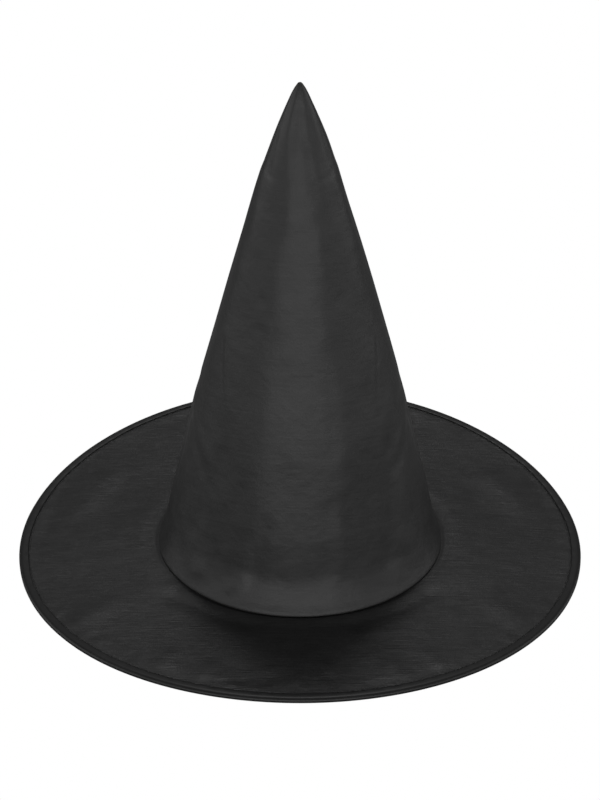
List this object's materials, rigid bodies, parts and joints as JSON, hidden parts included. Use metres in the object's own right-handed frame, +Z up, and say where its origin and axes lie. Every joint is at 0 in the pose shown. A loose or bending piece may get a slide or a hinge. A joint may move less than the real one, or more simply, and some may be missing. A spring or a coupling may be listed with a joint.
{
  "type": "witch hat",
  "caption": "Tall pointed cone hat in black satin with a soft peak, a stiffened crown and a wide round brim, bound and wired along its edge.",
  "frame": {"origin": "under the middle of the hat, on the surface it stands on", "axes": "+Z up through the point of the crown; the front is -Y and the crown's sewn seam is at +Y"},
  "size_m": [0.38, 0.38, 0.346],
  "materials": {
    "satin": "black polyester satin, semi-gloss, fine crosswise weft",
    "satin_inside": "the same satin seen from its dull side",
    "binding": "black folded tape, low sheen",
    "interlining": "stiff non-woven, matte",
    "head_band": "ribbed tape, matte",
    "thread": "black polyester sewing thread",
    "label": "plain white satin tape, blank",
    "steel": "spring wire"
  },
  "bodies": {
    "hat": {"crown_cover": "satin", "crown_interlining": "interlining", "crown_seam_allowance": "satin_inside", "crown_seam_stitching": "thread", "base_seam_allowance": "satin_inside", "base_seam_stitching": "thread", "head_band": "head_band", "care_label": "label", "brim_top_cover": "satin", "brim_interlining": "interlining", "brim_under_cover": "satin", "brim_binding": "binding", "binding_stitching_upper": "thread", "binding_stitching_lower": "thread", "hoop_wire": "steel", "hoop_sleeve": "steel"},
    "peak": {"peak_cover": "satin", "peak_seam_allowance": "satin_inside", "peak_tuck": "satin_inside"}
  },
  "joints": [
    {"name": "peak_bend", "type": "hinge", "parent": "hat", "child": "peak", "pos_m": [0, 0, 0.2875], "axis": [1, 0, 0], "range_deg": [-35, 35], "stiffness_Nm_per_rad": 0.02}
  ]
}
